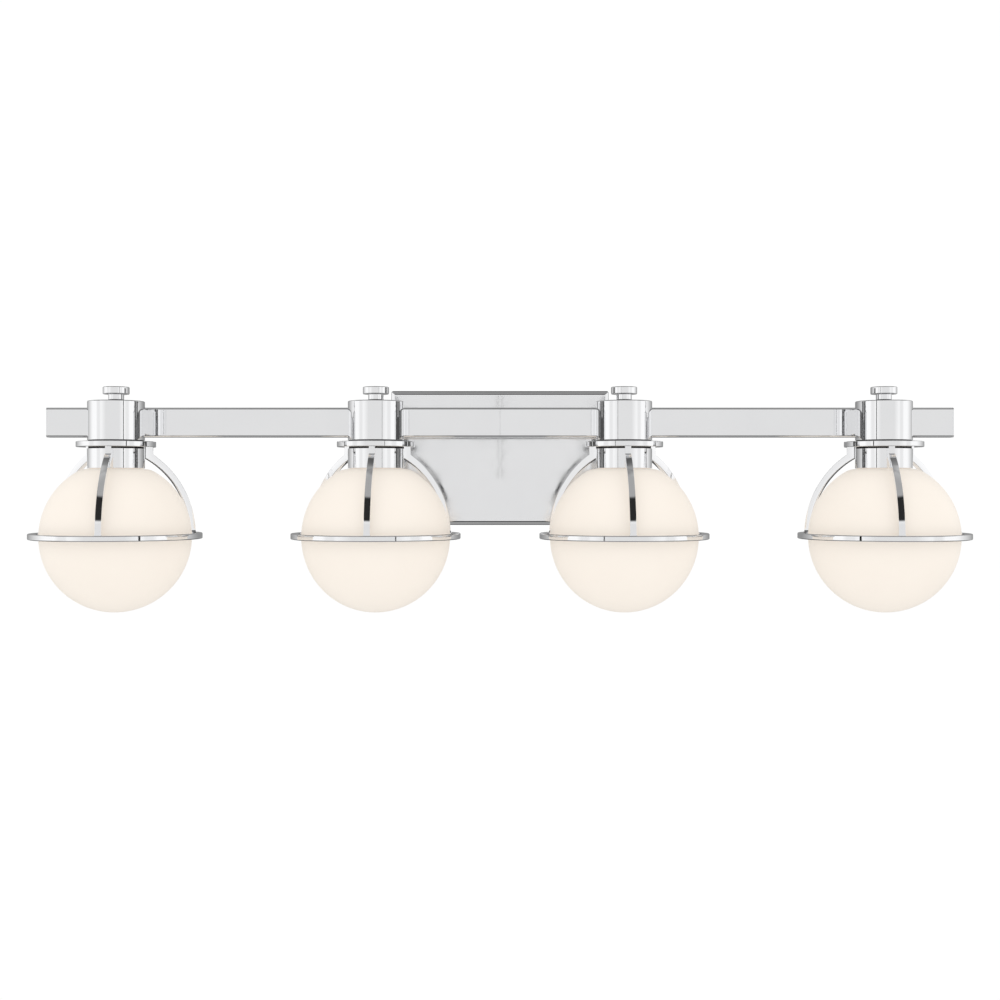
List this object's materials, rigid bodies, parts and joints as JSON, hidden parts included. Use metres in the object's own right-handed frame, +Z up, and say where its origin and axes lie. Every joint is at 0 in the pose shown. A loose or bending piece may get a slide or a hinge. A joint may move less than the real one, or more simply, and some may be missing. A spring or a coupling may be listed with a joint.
{
  "type": "vanity light bar",
  "caption": "Wall vanity bar in polished chrome: cups on a horizontal bar hold opal glass globes, each inside a cage of ribs and a ring.",
  "frame": {"origin": "centre of the back plate on the wall plane, at the mounting strap's rear face", "axes": "+Z up, front of the light faces -Y, the wall is on the +Y side, the bar runs along X"},
  "size_m": [0.8816, 0.1765, 0.2133],
  "materials": {
    "chrome": "polished chrome plate",
    "chrome_trim": "chrome-plated screw",
    "zinc_steel": "bright zinc plate",
    "earth_green": "green dyed zinc",
    "green_insulation": "smooth insulation",
    "lead_insulation": "smooth insulation",
    "connector_plastic": "moulded",
    "brass": "bright",
    "porcelain": "glazed",
    "bulb_cap": "nickel-plated",
    "bulb_frost": "frosted",
    "silicone": "matt",
    "opal_glass": "etched opal"
  },
  "bodies": {
    "root": {"arm_1": "chrome", "arm_2": "chrome", "arm_3": "chrome", "arm_4": "chrome", "back_plate": "chrome", "bar_end_cap_1": "chrome", "bar_end_cap_2": "chrome", "bar_tube": "chrome", "cage_1": "chrome", "cage_2": "chrome", "cage_3": "chrome", "cage_4": "chrome", "cup_screws": "zinc_steel", "ground_lead": "green_insulation", "ground_screw": "earth_green", "lamp_leads_1": "lead_insulation", "lamp_leads_2": "lead_insulation", "lamp_leads_3": "lead_insulation", "lamp_leads_4": "lead_insulation", "lampholder_1": "porcelain", "lampholder_2": "porcelain", "lampholder_3": "porcelain", "lampholder_4": "porcelain", "lower_cup_1": "chrome", "lower_cup_2": "chrome", "lower_cup_3": "chrome", "lower_cup_4": "chrome", "mounting_strap": "zinc_steel", "nipple_locknuts": "zinc_steel", "plate_side_screws": "chrome_trim", "socket_contacts": "brass", "standoff_1": "chrome", "standoff_2": "chrome", "threaded_nipples": "zinc_steel", "upper_cup_1": "chrome", "upper_cup_2": "chrome", "upper_cup_3": "chrome", "upper_cup_4": "chrome", "wire_connectors": "connector_plastic"},
    "bulb_1": {"bulb_base_1": "bulb_cap", "bulb_glass_1": "bulb_frost"},
    "bulb_2": {"bulb_base_2": "bulb_cap", "bulb_glass_2": "bulb_frost"},
    "bulb_3": {"bulb_base_3": "bulb_cap", "bulb_glass_3": "bulb_frost"},
    "bulb_4": {"bulb_base_4": "bulb_cap", "bulb_glass_4": "bulb_frost"},
    "finial_1": {"finial_1": "chrome"},
    "finial_2": {"finial_2": "chrome"},
    "finial_3": {"finial_3": "chrome"},
    "finial_4": {"finial_4": "chrome"},
    "gasket_1": {"gasket_1": "silicone"},
    "gasket_2": {"gasket_2": "silicone"},
    "gasket_3": {"gasket_3": "silicone"},
    "gasket_4": {"gasket_4": "silicone"},
    "globe_1": {"globe_1": "opal_glass"},
    "globe_2": {"globe_2": "opal_glass"},
    "globe_3": {"globe_3": "opal_glass"},
    "globe_4": {"globe_4": "opal_glass"}
  },
  "joints": [
    {"name": "finial_turn_1", "type": "hinge", "parent": "root", "child": "finial_1", "pos_m": [-0.3608, -0.097, 0.0517], "axis": [0, 0, 1], "range_deg": [0, 1080]},
    {"name": "globe_turn_1", "type": "hinge", "parent": "root", "child": "gasket_1", "pos_m": [-0.3608, -0.097, 0.0037], "axis": [0, 0, -1], "range_deg": [0, 540]},
    {"name": "globe_lower_1", "type": "slide", "parent": "gasket_1", "child": "globe_1", "axis": [0, 0, -1], "range_m": [0, 0.12]},
    {"name": "bulb_turn_1", "type": "hinge", "parent": "root", "child": "bulb_1", "pos_m": [-0.3608, -0.097, -0.003], "axis": [0, 0, -1], "range_deg": [0, 1080]},
    {"name": "finial_turn_2", "type": "hinge", "parent": "root", "child": "finial_2", "pos_m": [-0.1166, -0.097, 0.0517], "axis": [0, 0, 1], "range_deg": [0, 1080]},
    {"name": "globe_turn_2", "type": "hinge", "parent": "root", "child": "gasket_2", "pos_m": [-0.1166, -0.097, 0.0037], "axis": [0, 0, -1], "range_deg": [0, 540]},
    {"name": "globe_lower_2", "type": "slide", "parent": "gasket_2", "child": "globe_2", "axis": [0, 0, -1], "range_m": [0, 0.12]},
    {"name": "bulb_turn_2", "type": "hinge", "parent": "root", "child": "bulb_2", "pos_m": [-0.1166, -0.097, -0.003], "axis": [0, 0, -1], "range_deg": [0, 1080]},
    {"name": "finial_turn_3", "type": "hinge", "parent": "root", "child": "finial_3", "pos_m": [0.1166, -0.097, 0.0517], "axis": [0, 0, 1], "range_deg": [0, 1080]},
    {"name": "globe_turn_3", "type": "hinge", "parent": "root", "child": "gasket_3", "pos_m": [0.1166, -0.097, 0.0037], "axis": [0, 0, -1], "range_deg": [0, 540]},
    {"name": "globe_lower_3", "type": "slide", "parent": "gasket_3", "child": "globe_3", "axis": [0, 0, -1], "range_m": [0, 0.12]},
    {"name": "bulb_turn_3", "type": "hinge", "parent": "root", "child": "bulb_3", "pos_m": [0.1166, -0.097, -0.003], "axis": [0, 0, -1], "range_deg": [0, 1080]},
    {"name": "finial_turn_4", "type": "hinge", "parent": "root", "child": "finial_4", "pos_m": [0.3608, -0.097, 0.0517], "axis": [0, 0, 1], "range_deg": [0, 1080]},
    {"name": "globe_turn_4", "type": "hinge", "parent": "root", "child": "gasket_4", "pos_m": [0.3608, -0.097, 0.0037], "axis": [0, 0, -1], "range_deg": [0, 540]},
    {"name": "globe_lower_4", "type": "slide", "parent": "gasket_4", "child": "globe_4", "axis": [0, 0, -1], "range_m": [0, 0.12]},
    {"name": "bulb_turn_4", "type": "hinge", "parent": "root", "child": "bulb_4", "pos_m": [0.3608, -0.097, -0.003], "axis": [0, 0, -1], "range_deg": [0, 1080]}
  ]
}
